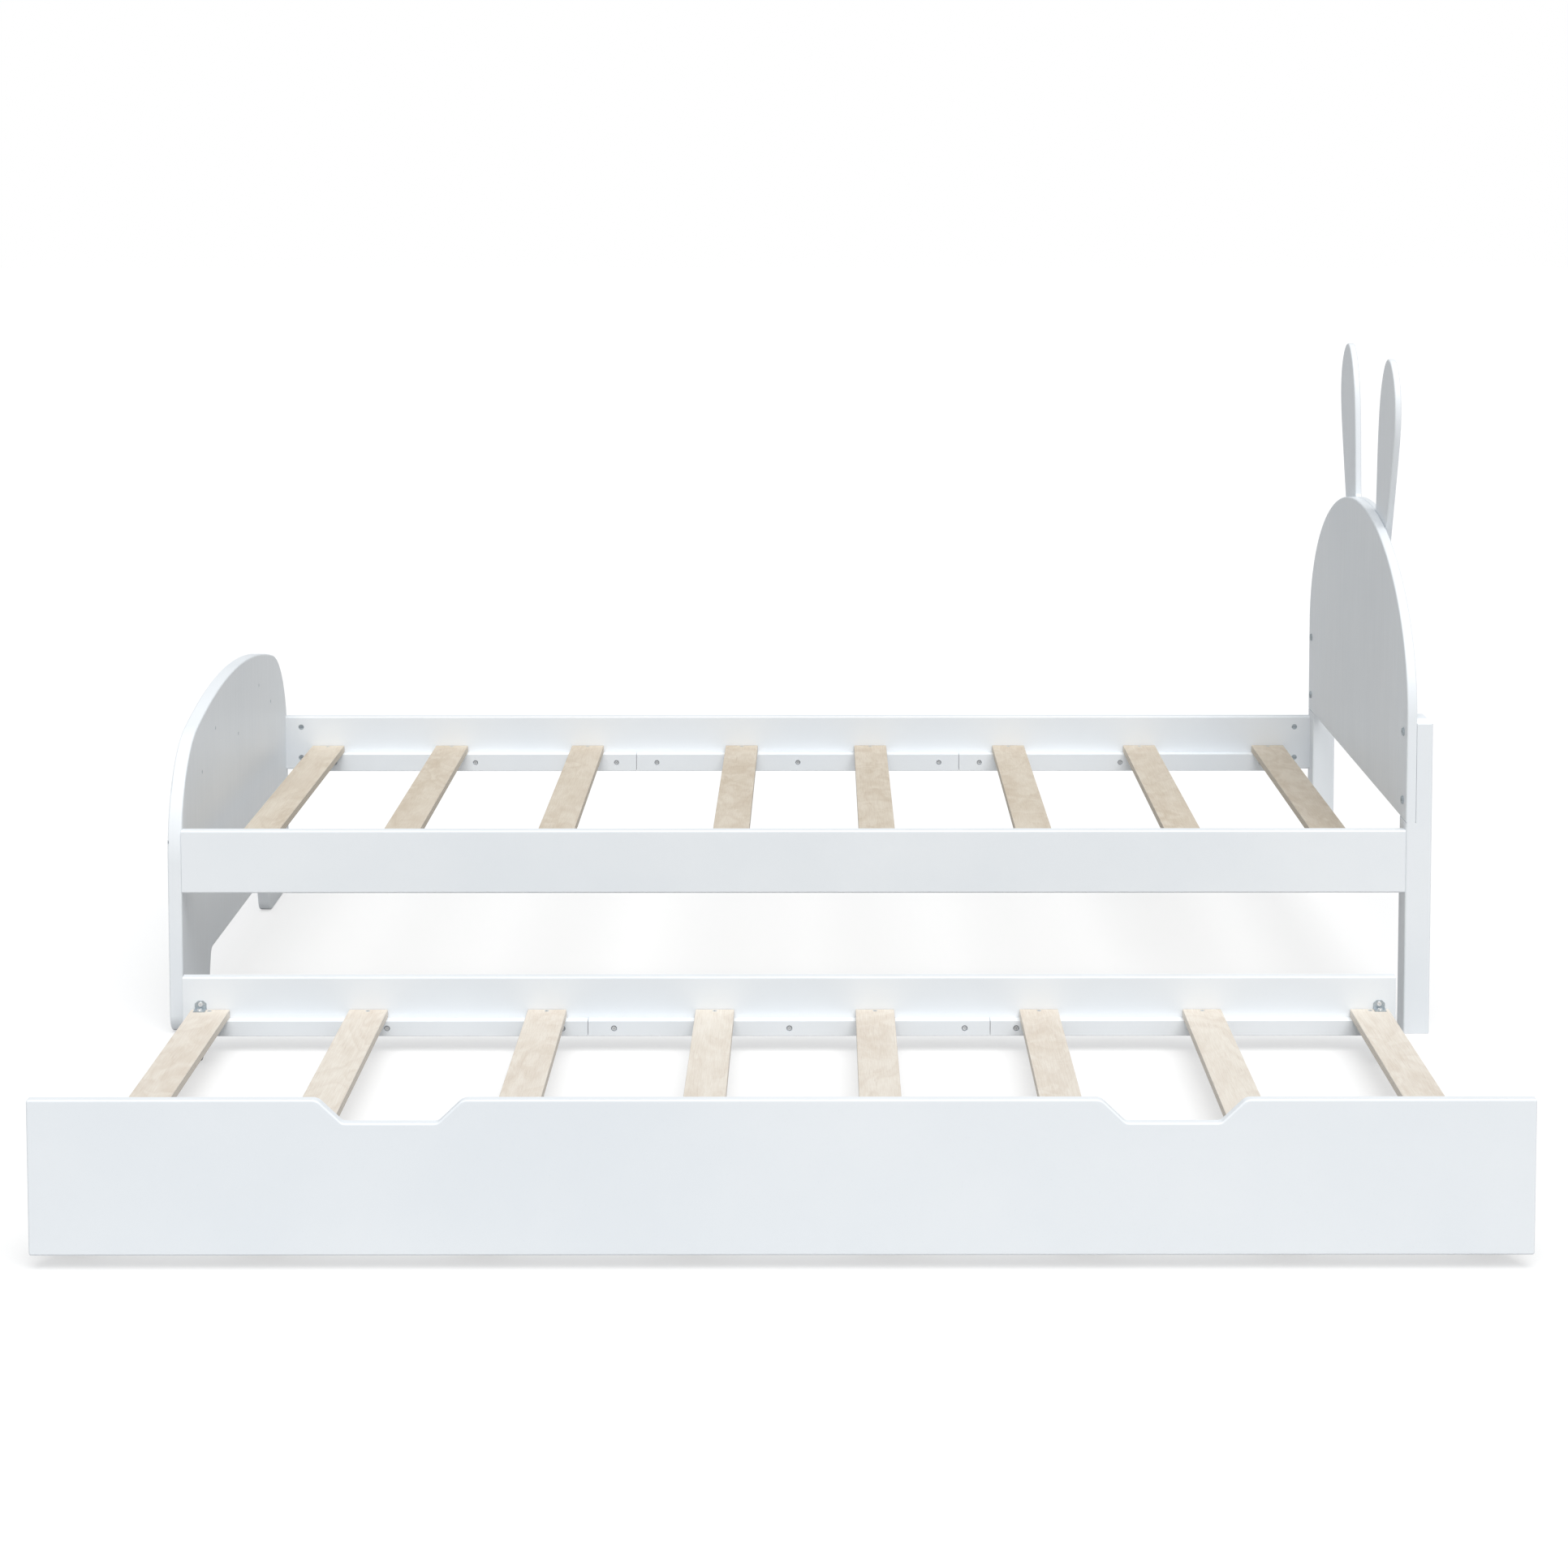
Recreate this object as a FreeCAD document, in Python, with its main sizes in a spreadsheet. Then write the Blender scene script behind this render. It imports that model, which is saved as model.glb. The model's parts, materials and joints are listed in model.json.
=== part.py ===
import FreeCAD, Part
import math
import os
import Sketcher

# Trundle bed: a low single bed with an arched footboard, a domed headboard that carries a
# board with two rabbit ears, and a slatted trundle that rolls out from under the front rail.
# Millimetres. +Z is up, +X runs from the foot to the head, +Y runs from the front to the back.
# The origin is on the floor, in the middle of the bed and the pulled-out trundle together.

SIZES = {
    # Mattress space and bed width
    "inner_length": 1930,
    "bed_width": 1043,
    # Side rails
    "rail_thick": 20,
    "rail_tall": 100,
    "rail_low": 226,
    "soft_edge": 3,
    # Head posts and the domed panel let into them
    "post_thick": 41,
    "post_wide": 58,
    "post_tall": 503,
    "post_chamfer": 8,
    "dome_thick": 16,
    "dome_low": 338,
    "dome_rise": 289,
    "panel_edge": 2.5,
    # Board with the ears: offsets from the bed's middle and heights above the floor
    "ears_thick": 11,
    "ears_base_out": 166,
    "ears_base_up": 650,
    "ears_base_round": 25,
    "ears_root_round": 6,
    "ear_foot_in_out": 105,
    "ear_waist_out": 112,
    "ear_waist_up": 850,
    "ear_inner_out": 124,
    "ear_inner_up": 940,
    "ear_rise_out": 150,
    "ear_rise_up": 1007,
    "ear_tip_out": 206,
    "ear_tip_up": 1049,
    "ear_fall_out": 262,
    "ear_fall_up": 1020,
    "ear_outer_out": 281,
    "ear_outer_up": 965,
    "ear_side_out": 262,
    "ear_side_up": 890,
    "ear_foot_out": 209,
    "ear_foot_up": 767,
    # Footboard
    "footboard_thick": 22,
    "footboard_tall": 503,
    "crown_radius": 1770,
    "shoulder_radius": 190,
    "foot_width": 215,
    "foot_flare": 28,
    "foot_gap_tall": 77,
    "foot_round": 28,
    "foot_gap_round": 20,
    # Slats of the bed and of the trundle: section, end gap and places along the bed
    "slat_wide": 60,
    "slat_thick": 13,
    "slat_edge": 1,
    "slat_end_gap": 1,
    "slat_screw_inset": 8,
    "bed_slat_1": -885,
    "bed_slat_2": -652,
    "bed_slat_3": -396,
    "bed_slat_4": -106,
    "bed_slat_5": 136,
    "bed_slat_6": 396,
    "bed_slat_7": 643,
    "bed_slat_8": 885,
    "trundle_slat_1": -901,
    "trundle_slat_2": -655,
    "trundle_slat_3": -377,
    "trundle_slat_4": -116,
    "trundle_slat_5": 133,
    "trundle_slat_6": 388,
    "trundle_slat_7": 642,
    "trundle_slat_8": 903,
    # Cleats that carry the slats, three end to end on each side
    "cleat_thick": 20,
    "cleat_gap": 0.8,
    "bed_cleat_tall": 32,
    "bed_cleat_long": 606,
    "bed_cleat_first": 38,
    "bed_cleat_pitch": 265,
    "trundle_cleat_tall": 24,
    "trundle_cleat_long": 624,
    "trundle_cleat_first": 40,
    "trundle_cleat_pitch": 272,
    "trundle_cleat_low": 25,
    # Trundle: travel from fully out to flush with the front rail, front panel, rear rail
    "roll_out": 1092,
    "trundle_shift": -6,
    "trundle_long": 1888,
    "trundle_inside": 993,
    "front_thick": 16,
    "front_tall": 199,
    "front_low": 19,
    "notch_apart": 980,
    "notch_wide": 182,
    "notch_floor": 119,
    "notch_deep": 30,
    "notch_lip_round": 16,
    "notch_floor_round": 10,
    "back_tall": 90,
    "back_low": 23,
    # Angle brackets on the end slats of the trundle
    "bracket_wide": 18,
    "bracket_tall": 14,
    "bracket_deep": 17,
    "bracket_sheet": 1.5,
    "bracket_shoulder": 9.5,
    "bracket_lug": 8,
    "bracket_round": 2.5,
    "bracket_offset": 15,
    "bracket_screw_up": 8.5,
    "bracket_screw_in": 10,
    # Fixed casters under the end slats
    "wheel_diameter": 40,
    "wheel_wide": 14,
    "wheel_hub": 16,
    "wheel_rim": 5,
    "wheel_dish": 3,
    "wheel_round": 2,
    "axle_diameter": 6,
    "axle_long": 24,
    "axle_play": 0.1,
    "caster_offset": 8,
    "caster_inset": 65,
    "plate_wide": 38,
    "plate_long": 50,
    "plate_sheet": 2,
    "fork_wide": 20,
    "fork_gap": 16,
    "fork_top": 30,
    "fork_toe": 8,
    "toe_slack": 0.001,
    "plate_screw_x": 14,
    "plate_screw_y": 19,
    # Cross dowels, their bolts and the wooden locating dowels at the ends of the rails
    "nut_diameter": 10,
    "nut_long": 16,
    "nut_recess": 1,
    "nut_inset": 29,
    "nut_slot": 1.4,
    "bolt_upper": 80,
    "bolt_lower": 22,
    "dowel_diameter": 8,
    "dowel_long": 30,
    "dowel_height": 51,
    # Places of the other fasteners
    "dome_bolt_inset": 30,
    "dome_bolt_low": 369,
    "dome_bolt_high": 478,
    "ear_screw_pitch": 100,
    "ear_screw_low": 675,
    "ear_screw_high": 745,
    "mark_side": 336,
    "mark_side_up": 384,
    "mark_inner": 213,
    "mark_inner_up": 434,
    "mark_middle_up": 386,
    # Clearance between a fastener and its hole, and between its head and a counterbore, both
    # on the diameter
    "fit": 0.2,
    "sink_play": 1.5,
    # How far a cutting block runs past the faces that it cuts
    "cut_past": 1,
}

# Each fastener: length below the head, shank, head, head height, drive socket, depth of the
# counterbore over the seat. A countersunk head has its recess cut to its own taper.
FASTENERS = {
    "cleat_screw": (28, 4, 8, 3, 3, 4.5),
    "slat_screw": (18, 3.5, 7, 2.5, 2.6, 2.5),
    "dome_bolt": (30, 6, 14, 3, 5, 0),
    "head_bolt": (75, 6, 14, 3, 5, 3),
    "foot_bolt": (56, 6, 14, 3, 5, 3),
    "ear_screw": (19, 4, 8, 2.5, 3, 2.5),
    "mark_screw": (15, 3.5, 6.5, 2.5, 2.6, 2.5),
    "bracket_screw": (10, 3, 8, 2, 3, 0),
    "plate_screw": (10, 3, 6, 2, 2.6, 0),
}
FASTENER_SIZES = ("long", "shank", "head", "rise", "socket", "sink")
COUNTERSUNK = ("slat_screw", "ear_screw", "mark_screw")
HEAD_TOP_SHARE = 0.8     # top of a raised head, as a share of its widest diameter
SOCKET_SHARE = 0.7       # depth of a drive socket, as a share of the head's height

CLEATS = 3               # cleats end to end on each side, and screws in each cleat
SLATS = 8                # slats on each frame
NEAR = 0.01              # two lengths this close count as the same

# Places that many pieces share, as expressions in the sheet's values
MID_X = "((Sizes.footboard_thick - Sizes.post_thick) / 2)"
HEAD_X = f"({MID_X} + Sizes.inner_length / 2)"
FOOT_X = f"({MID_X} - Sizes.inner_length / 2)"
FRONT_Y = "((Sizes.roll_out - Sizes.bed_width) / 2)"
REAR_Y = f"({FRONT_Y} + Sizes.bed_width)"
MID_Y = f"({FRONT_Y} + Sizes.bed_width / 2)"
BED_SLAT_Z = "(Sizes.rail_low + Sizes.bed_cleat_tall)"
TRUNDLE_X = f"({MID_X} + Sizes.trundle_shift)"
PANEL_Y = f"({FRONT_Y} - Sizes.roll_out)"
INSIDE_Y = f"({PANEL_Y} + Sizes.front_thick)"
BACK_Y = f"({INSIDE_Y} + Sizes.trundle_inside)"
TRUNDLE_SLAT_Z = "(Sizes.trundle_cleat_low + Sizes.trundle_cleat_tall)"

# Turns that take a sketch's X, Y and thickness to the bed's directions
UPRIGHT_ACROSS = FreeCAD.Rotation(FreeCAD.Vector(1, 1, 1), 120)
UPRIGHT_ALONG = FreeCAD.Rotation(FreeCAD.Vector(1, 0, 0), 90)
POINTING = {
    "+X": FreeCAD.Rotation(FreeCAD.Vector(0, 1, 0), 90),
    "-X": FreeCAD.Rotation(FreeCAD.Vector(0, 1, 0), -90),
    "+Y": FreeCAD.Rotation(FreeCAD.Vector(1, 0, 0), -90),
    "-Y": FreeCAD.Rotation(FreeCAD.Vector(1, 0, 0), 90),
    "+Z": FreeCAD.Rotation(),
    "-Z": FreeCAD.Rotation(FreeCAD.Vector(1, 0, 0), 180),
}
OPPOSITE = {"+X": "-X", "-X": "+X", "+Y": "-Y", "-Y": "+Y", "+Z": "-Z", "-Z": "+Z"}

doc = FreeCAD.newDocument("TrundleBed")
sheet = doc.addObject("Spreadsheet::Sheet", "Sizes")
nodes = []


def fill_sheet():
    """One row per size: its name, its value and the alias that the expressions use."""
    rows = dict(SIZES)
    for kind, values in FASTENERS.items():
        for word, value in zip(FASTENER_SIZES, values):
            rows[f"{kind}_{word}"] = value
    for number, (name, value) in enumerate(rows.items(), start=1):
        sheet.set(f"A{number}", name)
        sheet.set(f"B{number}", str(value))
        sheet.setAlias(f"B{number}", name)
    doc.recompute()


def value_of(expression):
    """The number that an expression in the sheet's values comes to."""
    return float(sheet.evalExpression(expression.replace("Sizes.", "")))


def bind(thing, **sizes):
    for name, expression in sizes.items():
        thing.setExpression(name, expression)


def put(thing, x, y, z, turn=None):
    """Place an object at expressions x, y, z."""
    if turn is not None:
        thing.Placement = FreeCAD.Placement(FreeCAD.Vector(), turn)
    for axis, expression in zip("xyz", (x, y, z)):
        thing.setExpression(f"Placement.Base.{axis}", expression)
    return thing


def node(thing, label):
    """Name a finished piece and keep it for export."""
    thing.Label = label
    nodes.append(thing)
    return thing


# ---------------------------------------------------------------- primitives and bores

def rod(place, way, length, diameter):
    """A cylinder from place, pointing one way."""
    cylinder = doc.addObject("Part::Cylinder", "rod")
    bind(cylinder, Radius=f"({diameter}) / 2", Height=length)
    return put(cylinder, *place, POINTING[way])


def taper(place, way, length, start, end):
    """A cone from place, pointing one way, from its start diameter to its end diameter."""
    cone = doc.addObject("Part::Cone", "taper")
    bind(cone, Radius1=f"({start}) / 2", Radius2=f"({end}) / 2", Height=length)
    return put(cone, *place, POINTING[way])


def block(place, long, wide, tall):
    box = doc.addObject("Part::Box", "block")
    bind(box, Length=long, Width=wide, Height=tall)
    return put(box, *place)


def joined(*pieces):
    fuse = doc.addObject("Part::MultiFuse", "joined")
    fuse.Shapes = list(pieces)
    return fuse


def cut(base, *tools):
    for tool in tools:
        result = doc.addObject("Part::Cut", "cut")
        result.Base = base
        result.Tool = tool
        base = result
    return base


def group(pieces, label):
    compound = doc.addObject("Part::Compound", "group")
    compound.Links = list(pieces)
    return node(compound, label)


def shifted(place, way, distance):
    """The place a distance further along one way."""
    moved = list(place)
    axis = "XYZ".index(way[1])
    moved[axis] = f"{place[axis]} {way[0]} ({distance})"
    return tuple(moved)


def fastener(kind, place, way):
    """One screw or bolt, with the seat under its head at place."""
    size = f"Sizes.{kind}"
    back = OPPOSITE[way]
    shank = rod(place, way, f"{size}_long", f"{size}_shank")
    if kind in COUNTERSUNK:
        head = taper(place, back, f"{size}_rise", f"{size}_shank", f"{size}_head")
    else:
        head = taper(place, back, f"{size}_rise", f"{size}_head", f"{size}_head * {HEAD_TOP_SHARE}")
    socket = doc.addObject("Part::Prism", "socket")
    socket.Polygon = 6
    bind(socket, Circumradius=f"{size}_socket / 2", Height=f"{size}_rise * {SOCKET_SHARE}")
    put(socket, *shifted(place, back, f"{size}_rise"), POINTING[way])
    return cut(joined(shank, head), socket)


def fastener_bore(kind, place, way):
    """The hole and the counterbore or countersink that one fastener needs."""
    size = f"Sizes.{kind}"
    back = OPPOSITE[way]
    pieces = [rod(place, way, f"{size}_long + Sizes.fit", f"{size}_shank + Sizes.fit")]
    if kind in COUNTERSUNK:
        pieces.append(taper(place, back, f"{size}_rise", f"{size}_shank + Sizes.fit",
                            f"{size}_head + Sizes.fit"))
    elif value_of(f"{size}_sink") > 0:
        pieces.append(rod(place, back, f"{size}_sink", f"{size}_head + Sizes.sink_play"))
    return pieces


def fastener_set(label, kind, spots):
    """A group of like fasteners, and the one tool that bores for all of them."""
    group([fastener(kind, place, way) for place, way in spots], label)
    bores = []
    for place, way in spots:
        bores += fastener_bore(kind, place, way)
    return joined(*bores)


# ---------------------------------------------------------------- boards

def arc_between(start, end, radius):
    """The shorter arc from start to end that bulges to the right of the way from start to end."""
    chord = end - start
    middle = (start + end) * 0.5
    left = FreeCAD.Vector(-chord.y, chord.x, 0).normalize()
    centre = middle + left * (radius ** 2 - (chord.Length / 2) ** 2) ** 0.5
    circle = Part.Circle(centre, FreeCAD.Vector(0, 0, 1), radius)
    return Part.ArcOfCircle(circle, circle.parameter(start), circle.parameter(end))


def flat_sketch(body, corners, curves=None):
    """A closed outline with each corner bound to a pair of expressions, anticlockwise.

    A side is straight unless curves gives it a radius, which is bound too, or a ready curve.
    """
    curves = curves or {}
    sketch = body.newObject("Sketcher::SketchObject", "outline")
    plane = [item for item in body.Origin.OriginFeatures if item.Role == "XY_Plane"][0]
    sketch.AttachmentSupport = [(plane, "")]
    sketch.MapMode = "FlatFace"
    points = [FreeCAD.Vector(value_of(x), value_of(y), 0) for x, y in corners]
    last = len(points)
    for side in range(last):
        start = points[side]
        end = points[(side + 1) % last]
        curve = curves.get(side)
        if curve is None:
            sketch.addGeometry(Part.LineSegment(start, end), False)
        elif isinstance(curve, str):
            sketch.addGeometry(arc_between(start, end, value_of(curve)), False)
        else:
            sketch.addGeometry(curve, False)
    for side in range(last):
        sketch.addConstraint(Sketcher.Constraint("Coincident", side, 2, (side + 1) % last, 1))
    for side, (x, y) in enumerate(corners):
        bound = sketch.addConstraint(Sketcher.Constraint("DistanceX", side, 1, points[side].x))
        sketch.setExpression(f"Constraints[{bound}]", x)
        bound = sketch.addConstraint(Sketcher.Constraint("DistanceY", side, 1, points[side].y))
        sketch.setExpression(f"Constraints[{bound}]", y)
        if isinstance(curves.get(side), str):
            radius = Sketcher.Constraint("Radius", side, value_of(curves[side]))
            bound = sketch.addConstraint(radius)
            sketch.setExpression(f"Constraints[{bound}]", curves[side])
    return sketch


def edges_where(feature, test):
    return [f"Edge{number}" for number, edge in enumerate(feature.Shape.Edges, start=1)
            if test(edge)]


def rounded(body, base, edges, radius, kind="Fillet"):
    """Round or chamfer some edges of a body's last feature."""
    feature = body.newObject(f"PartDesign::{kind}", kind.lower())
    feature.Base = (base, edges)
    bind(feature, **{"Radius" if kind == "Fillet" else "Size": radius})
    doc.recompute()
    return feature


def board(corners, depth, curves=None, rounds=(), edge=None):
    """A body padded from an outline, with some corners rounded and both faces' rims eased.

    rounds holds pairs of a radius and the corners that take it.
    """
    body = doc.addObject("PartDesign::Body", "board")
    sketch = flat_sketch(body, corners, curves)
    feature = body.newObject("PartDesign::Pad", "pad")
    feature.Profile = sketch
    bind(feature, Length=depth)
    doc.recompute()
    thick = value_of(depth)
    for radius, wanted in rounds:
        spots = [(value_of(corners[index][0]), value_of(corners[index][1])) for index in wanted]

        def at_corner(item):
            ends = [vertex.Point for vertex in item.Vertexes]
            if len(ends) < 2 or abs(abs(ends[0].z - ends[1].z) - thick) > NEAR:
                return False
            return any(abs(ends[0].x - x) < NEAR and abs(ends[0].y - y) < NEAR
                       for x, y in spots)

        feature = rounded(body, feature, edges_where(feature, at_corner), radius)
    if edge:
        def on_rim(item):
            box = item.BoundBox
            flat = box.ZLength < NEAR
            return flat and (abs(box.ZMin) < NEAR or abs(box.ZMax - thick) < NEAR)

        feature = rounded(body, feature, edges_where(feature, on_rim), edge)
    return body


def bar(wide, tall, length, radius):
    """A board of rectangular section with its four long edges rounded."""
    corners = [("0", "0"), (wide, "0"), (wide, tall), ("0", tall)]
    return board(corners, length, rounds=[(radius, (0, 1, 2, 3))])


# ---------------------------------------------------------------- headboard

def dome_curve():
    """The half ellipse over the posts, from the rear side to the front side."""
    half = value_of("Sizes.bed_width / 2")
    centre = FreeCAD.Vector(half, value_of("Sizes.post_tall"), 0)
    ellipse = Part.Ellipse(centre, half, value_of("Sizes.dome_rise"))
    return Part.ArcOfEllipse(ellipse, 0, math.pi)


def headboard_panel(*bores):
    """The domed panel, flush with the posts' inner and outer faces."""
    corners = [
        ("0", "Sizes.dome_low"),
        ("Sizes.bed_width", "Sizes.dome_low"),
        ("Sizes.bed_width", "Sizes.post_tall"),
        ("0", "Sizes.post_tall"),
    ]
    panel = board(corners, "Sizes.dome_thick", {2: dome_curve()}, edge="Sizes.panel_edge")
    put(panel, HEAD_X, FRONT_Y, "0", UPRIGHT_ACROSS)
    node(cut(panel, *bores), "headboard_panel")


# The bridge between the ears follows the dome, so its ends lie on the dome's ellipse
EAR_ROOT_Z = ("Sizes.post_tall + Sizes.dome_rise"
              " * sqrt(1 - (2 * Sizes.ear_foot_in_out / Sizes.bed_width) ^ 2)")
BRIDGE_RADIUS = "Sizes.bed_width ^ 2 / 4 / Sizes.dome_rise"


def ear_curve(side):
    """One ear's edge: up the outer side, over the tip and down the inner side on +1."""
    stations = ("foot", "side", "outer", "fall", "tip", "rise", "inner", "waist")
    middle = value_of("Sizes.bed_width / 2")
    points = [(value_of("Sizes.ears_base_out"), value_of("Sizes.ears_base_up"))]
    points += [(value_of(f"Sizes.ear_{word}_out"), value_of(f"Sizes.ear_{word}_up"))
               for word in stations]
    points.append((value_of("Sizes.ear_foot_in_out"), value_of(EAR_ROOT_Z)))
    path = [FreeCAD.Vector(middle + side * out, up, 0) for out, up in points]
    if side < 0:
        path.reverse()
    curve = Part.BSplineCurve()
    curve.interpolate(path)
    return curve


def ears_board(*bores):
    """The board behind the dome: a bridge with one ear rising from each end."""
    half = "Sizes.bed_width / 2"
    corners = [
        (f"{half} - Sizes.ears_base_out", "Sizes.ears_base_up"),
        (f"{half} + Sizes.ears_base_out", "Sizes.ears_base_up"),
        (f"{half} + Sizes.ear_foot_in_out", EAR_ROOT_Z),
        (f"{half} - Sizes.ear_foot_in_out", EAR_ROOT_Z),
    ]
    curves = {1: ear_curve(1), 2: BRIDGE_RADIUS, 3: ear_curve(-1)}
    rounds = [("Sizes.ears_base_round", (0, 1)), ("Sizes.ears_root_round", (2, 3))]
    ears = board(corners, "Sizes.ears_thick", curves, rounds, "Sizes.panel_edge")
    put(ears, f"{HEAD_X} + Sizes.dome_thick", FRONT_Y, "0", UPRIGHT_ACROSS)
    node(cut(ears, *bores), "rabbit_ears_board")


def head_post(label, y, *bores):
    """A post with a rebate for the panel's thickness, a chamfered top and eased edges."""
    corners = [
        ("0", "0"),
        ("Sizes.post_thick", "0"),
        ("Sizes.post_thick", "Sizes.post_wide"),
        ("0", "Sizes.post_wide"),
    ]
    post = board(corners, "Sizes.post_tall")
    top = value_of("Sizes.post_tall")

    def outer_top(item):
        box = item.BoundBox
        return box.ZMin > top - NEAR and box.XMax > NEAR

    def upright(item):
        return item.BoundBox.ZLength > top / 2

    capped = rounded(post, post.Tip, edges_where(post.Tip, outer_top), "Sizes.post_chamfer",
                     "Chamfer")
    rounded(post, capped, edges_where(capped, upright), "Sizes.soft_edge")
    put(post, HEAD_X, y, "0")
    rebate = block((HEAD_X, f"{y} - Sizes.cut_past", "Sizes.dome_low"), "Sizes.dome_thick",
                   "Sizes.post_wide + 2 * Sizes.cut_past", "Sizes.post_tall")
    node(cut(post, rebate, *bores), label)


# ---------------------------------------------------------------- footboard

def footboard(*bores):
    """A board with a three-centred crown and a long gap that leaves two feet."""
    wide = "Sizes.bed_width"
    reach = "(Sizes.bed_width / 2 - Sizes.shoulder_radius)"
    spread = "(Sizes.crown_radius - Sizes.shoulder_radius)"
    crown_z = "(Sizes.footboard_tall - Sizes.crown_radius)"
    spring_z = f"{crown_z} + sqrt({spread} ^ 2 - {reach} ^ 2)"
    meet_y = f"(Sizes.bed_width / 2 - Sizes.crown_radius * {reach} / {spread})"
    meet_z = f"{crown_z} + Sizes.crown_radius * sqrt(1 - ({reach} / {spread}) ^ 2)"
    gap = "(Sizes.foot_width + Sizes.foot_flare)"
    corners = [
        ("0", "0"),
        ("Sizes.foot_width", "0"),
        (gap, "Sizes.foot_gap_tall"),
        (f"{wide} - {gap}", "Sizes.foot_gap_tall"),
        (f"{wide} - Sizes.foot_width", "0"),
        (wide, "0"),
        (wide, spring_z),
        (f"{wide} - {meet_y}", meet_z),
        (meet_y, meet_z),
        ("0", spring_z),
    ]
    curves = {6: "Sizes.shoulder_radius", 7: "Sizes.crown_radius", 8: "Sizes.shoulder_radius"}
    rounds = [("Sizes.foot_round", (0, 1, 4, 5)), ("Sizes.foot_gap_round", (2, 3))]
    panel = board(corners, "Sizes.footboard_thick", curves, rounds, "Sizes.soft_edge")
    put(panel, f"{FOOT_X} - Sizes.footboard_thick", FRONT_Y, "0", UPRIGHT_ACROSS)
    node(cut(panel, *bores), "footboard_panel")


# ---------------------------------------------------------------- rails, cleats and slats

def side_rail(label, y, *bores):
    rail = bar("Sizes.rail_thick", "Sizes.rail_tall", "Sizes.inner_length", "Sizes.soft_edge")
    put(rail, FOOT_X, y, "Sizes.rail_low", UPRIGHT_ACROSS)
    node(cut(rail, *bores), label)


def cleat_start(frame, number):
    """Where a cleat begins along the bed; three of them are centred on their frame."""
    middle = MID_X if frame == "bed" else TRUNDLE_X
    return f"{middle} + {number - CLEATS / 2} * Sizes.{frame}_cleat_long"


def cleats(frame, side, y, low, *bores):
    for number in range(CLEATS):
        strip = bar("Sizes.cleat_thick", f"Sizes.{frame}_cleat_tall",
                    f"Sizes.{frame}_cleat_long - Sizes.cleat_gap", "Sizes.slat_edge")
        put(strip, cleat_start(frame, number), y, low, UPRIGHT_ACROSS)
        node(cut(strip, *bores), f"{frame}_cleat_{side}_{number + 1}")


def cleat_spots(frame, low, front_face, rear_face):
    """Seats of the recessed cleat screws, three to a cleat, on the front and rear cleats."""
    height = f"{low} + Sizes.{frame}_cleat_tall / 2"
    spots = []
    for face, way, sign in ((front_face, "-Y", "-"), (rear_face, "+Y", "+")):
        seat = f"{face} {sign} Sizes.cleat_screw_sink"
        for number in range(CLEATS):
            for screw in range(CLEATS):
                x = (f"{cleat_start(frame, number)} + Sizes.{frame}_cleat_first"
                     f" + {screw} * Sizes.{frame}_cleat_pitch")
                spots.append(((x, seat, height), way))
    return spots


def slat_x(frame, number):
    middle = MID_X if frame == "bed" else TRUNDLE_X
    return f"{middle} + Sizes.{frame}_slat_{number}"


def slats(frame, front, rear, low, bores, end_bores=()):
    """The slats between the inner faces front and rear; the two end ones take end_bores too."""
    for number in range(1, SLATS + 1):
        strip = bar("Sizes.slat_wide", "Sizes.slat_thick",
                    f"{rear} - {front} - 2 * Sizes.slat_end_gap", "Sizes.slat_edge")
        put(strip, f"{slat_x(frame, number)} - Sizes.slat_wide / 2",
            f"{rear} - Sizes.slat_end_gap", low, UPRIGHT_ALONG)
        tools = list(bores)
        if number in (1, SLATS):
            tools += end_bores
        node(cut(strip, *tools), f"{frame}_slat_{number}")


def slat_spots(frame, front, rear, low):
    """Seats of the slat screws, one near each end of each slat."""
    seat = f"{low} + Sizes.slat_thick - Sizes.slat_screw_rise"
    spots = []
    for number in range(1, SLATS + 1):
        for y in (f"{front} + Sizes.slat_end_gap + Sizes.slat_screw_inset",
                  f"{rear} - Sizes.slat_end_gap - Sizes.slat_screw_inset"):
            spots.append(((slat_x(frame, number), y, seat), "-Z"))
    return spots


# ---------------------------------------------------------------- rail-end hardware

RAIL_ENDS = ((f"{HEAD_X}", "-"), (f"{FOOT_X}", "+"))
RAIL_LINES = (f"({FRONT_Y} + Sizes.rail_thick / 2)", f"({REAR_Y} - Sizes.rail_thick / 2)")
BOLT_HEIGHTS = ("Sizes.rail_low + Sizes.bolt_upper", "Sizes.rail_low + Sizes.bolt_lower")


def bolt_spots(seat, way):
    return [((seat, y, z), way) for y in RAIL_LINES for z in BOLT_HEIGHTS]


def barrel_nuts(*bolt_bores):
    """Slotted cross dowels let into the rails' inner faces, and their bores."""
    nuts = []
    bores = []
    for face, way in ((f"({FRONT_Y} + Sizes.rail_thick)", "-Y"),
                      (f"({REAR_Y} - Sizes.rail_thick)", "+Y")):
        for end, inward in RAIL_ENDS:
            for z in BOLT_HEIGHTS:
                mouth = (f"{end} {inward} Sizes.nut_inset", face, z)
                outer = shifted(mouth, way, "Sizes.nut_recess")
                nut = rod(outer, way, "Sizes.nut_long", "Sizes.nut_diameter")
                corner = (f"{mouth[0]} - Sizes.nut_diameter / 2",
                          f"{outer[1]} - Sizes.nut_slot", f"{z} - Sizes.nut_slot / 2")
                slot = block(corner, "Sizes.nut_diameter", "2 * Sizes.nut_slot",
                             "Sizes.nut_slot")
                nuts.append(cut(nut, slot, *bolt_bores))
                bores.append(rod(mouth, way, "Sizes.nut_long + Sizes.nut_recess + Sizes.fit",
                                 "Sizes.nut_diameter + Sizes.fit"))
    group(nuts, "rail_barrel_nuts")
    return joined(*bores)


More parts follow.
